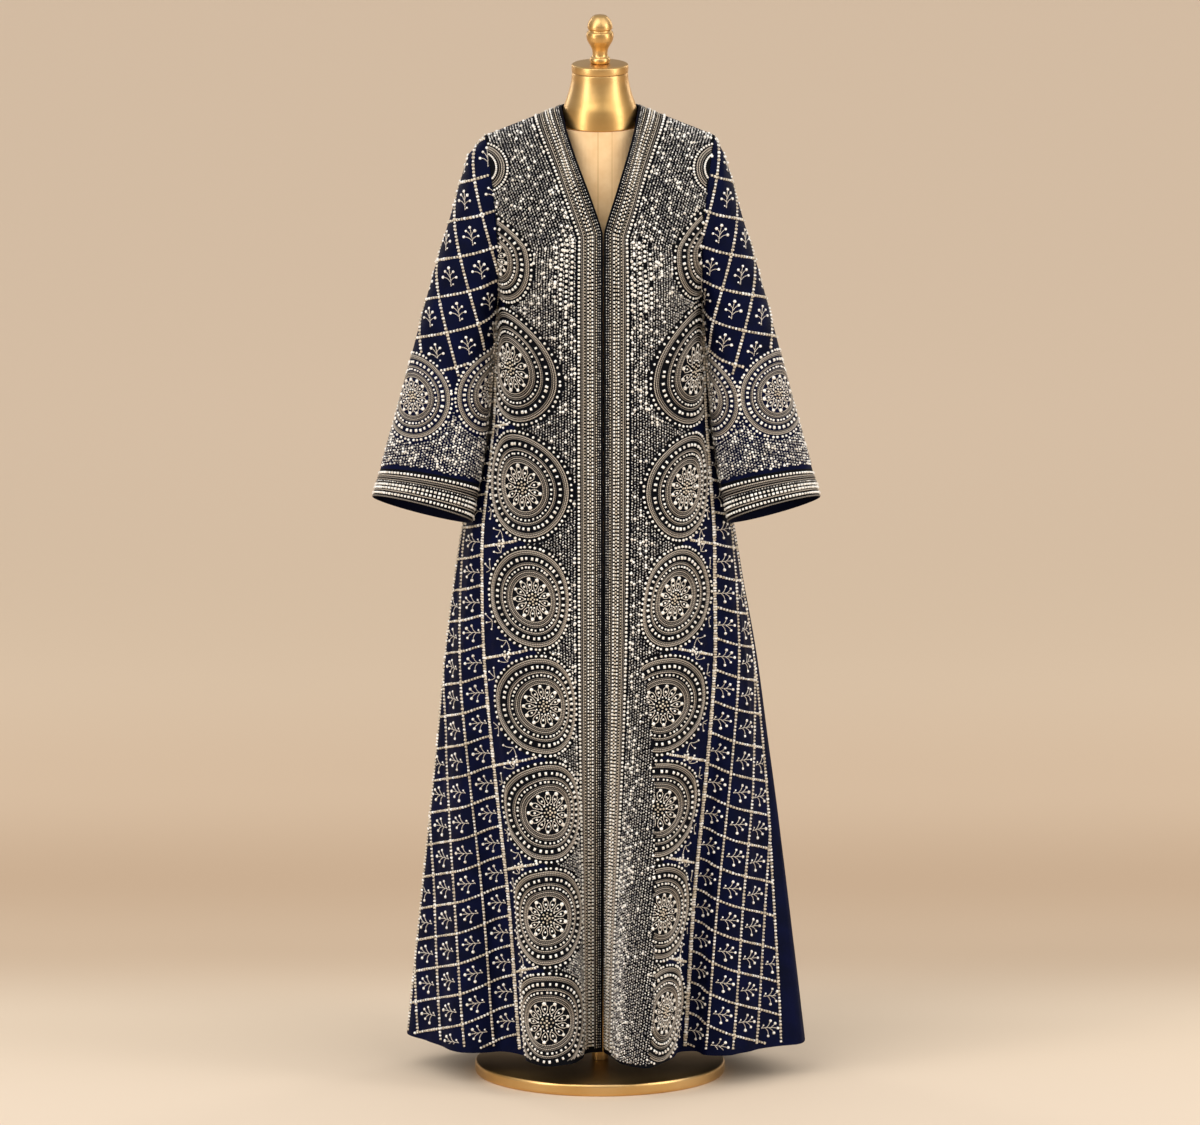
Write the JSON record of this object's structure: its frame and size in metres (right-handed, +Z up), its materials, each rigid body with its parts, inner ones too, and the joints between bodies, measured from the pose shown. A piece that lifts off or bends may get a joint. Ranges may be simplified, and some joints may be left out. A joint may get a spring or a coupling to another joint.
{
  "type": "abaya cloak on a limbless dress form",
  "caption": "Ankle-length open-front abaya cloak with beaded fronts, flared side gores, wide sleeves and neck band, on a torso form with brass neck, finial and round base",
  "frame": {"origin": "centre of the underside of the round base disc, on the floor", "axes": "+Z up along the pole, -Y the wearer's front, +X the wearer's left"},
  "size_m": [0.671, 0.4271, 1.6162],
  "materials": {
    "navy_cloth": "plain deep navy woven cloth",
    "beaded_navy_cloth": "navy cloth worked with ivory beads, sequins and champagne braid",
    "braided_band_cloth": "dense rows of champagne braid and ivory beads on navy",
    "form_jersey": "smooth tan jersey cover",
    "brushed_brass": "fine turned satin brass"
  },
  "bodies": {
    "root": {"back_right": "navy_cloth", "back_left": "navy_cloth", "front_left": "beaded_navy_cloth", "front_right": "beaded_navy_cloth", "side_gore_left": "beaded_navy_cloth", "side_gore_right": "beaded_navy_cloth", "sleeve_left": "beaded_navy_cloth", "sleeve_right": "beaded_navy_cloth", "front_band_left": "braided_band_cloth", "front_band_right": "braided_band_cloth", "cuff_left": "braided_band_cloth", "cuff_right": "braided_band_cloth", "form_torso": "form_jersey", "form_neck": "brushed_brass", "neck_cap": "brushed_brass", "finial": "brushed_brass", "pole": "brushed_brass", "base_disc": "brushed_brass"}
  },
  "joints": []
}
